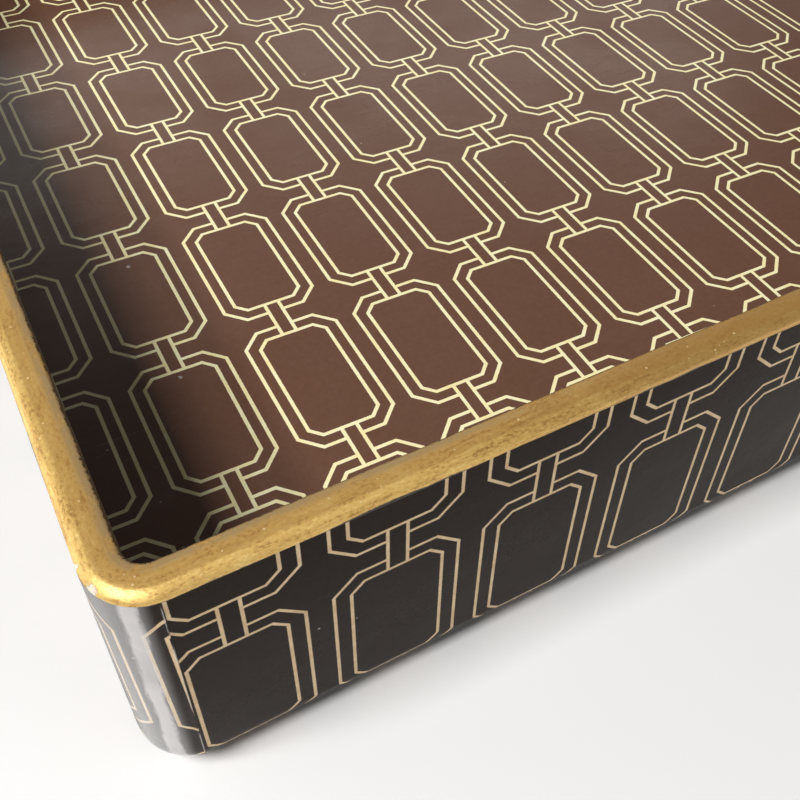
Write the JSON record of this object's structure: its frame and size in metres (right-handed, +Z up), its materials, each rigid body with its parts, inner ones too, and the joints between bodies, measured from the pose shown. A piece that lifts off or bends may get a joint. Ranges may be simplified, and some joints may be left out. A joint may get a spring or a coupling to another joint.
{
  "type": "serving tray",
  "caption": "Deep rectangular serving tray with rounded corners, a board carcase covered in link-patterned paper under gloss lacquer, a brushed gold rim and a felt underside.",
  "frame": {"origin": "centre of the felt's resting face", "axes": "+X along the long front side, +Y from front to back, +Z up"},
  "size_m": [0.406, 0.305, 0.0515],
  "materials": {
    "fibreboard": "bare pressed board",
    "pin_steel": "drawn wire",
    "floor_paper": "printed paper under clear gloss lacquer",
    "lining_paper": "printed paper under clear gloss lacquer",
    "cover_paper": "printed paper under clear gloss lacquer",
    "gilt": "brushed gold paint on a raised edge",
    "felt": "pressed felt"
  },
  "bodies": {
    "root": {"base_board": "fibreboard", "front_rail": "fibreboard", "right_rail": "fibreboard", "back_rail": "fibreboard", "left_rail": "fibreboard", "front_left_post": "fibreboard", "front_right_post": "fibreboard", "back_right_post": "fibreboard", "back_left_post": "fibreboard", "base_pins": "pin_steel", "floor_paper": "floor_paper", "front_lining": "lining_paper", "right_lining": "lining_paper", "back_lining": "lining_paper", "left_lining": "lining_paper", "front_cover": "cover_paper", "right_cover": "cover_paper", "back_cover": "cover_paper", "left_cover": "cover_paper", "gilt_rim": "gilt", "felt_base": "felt"}
  },
  "joints": []
}
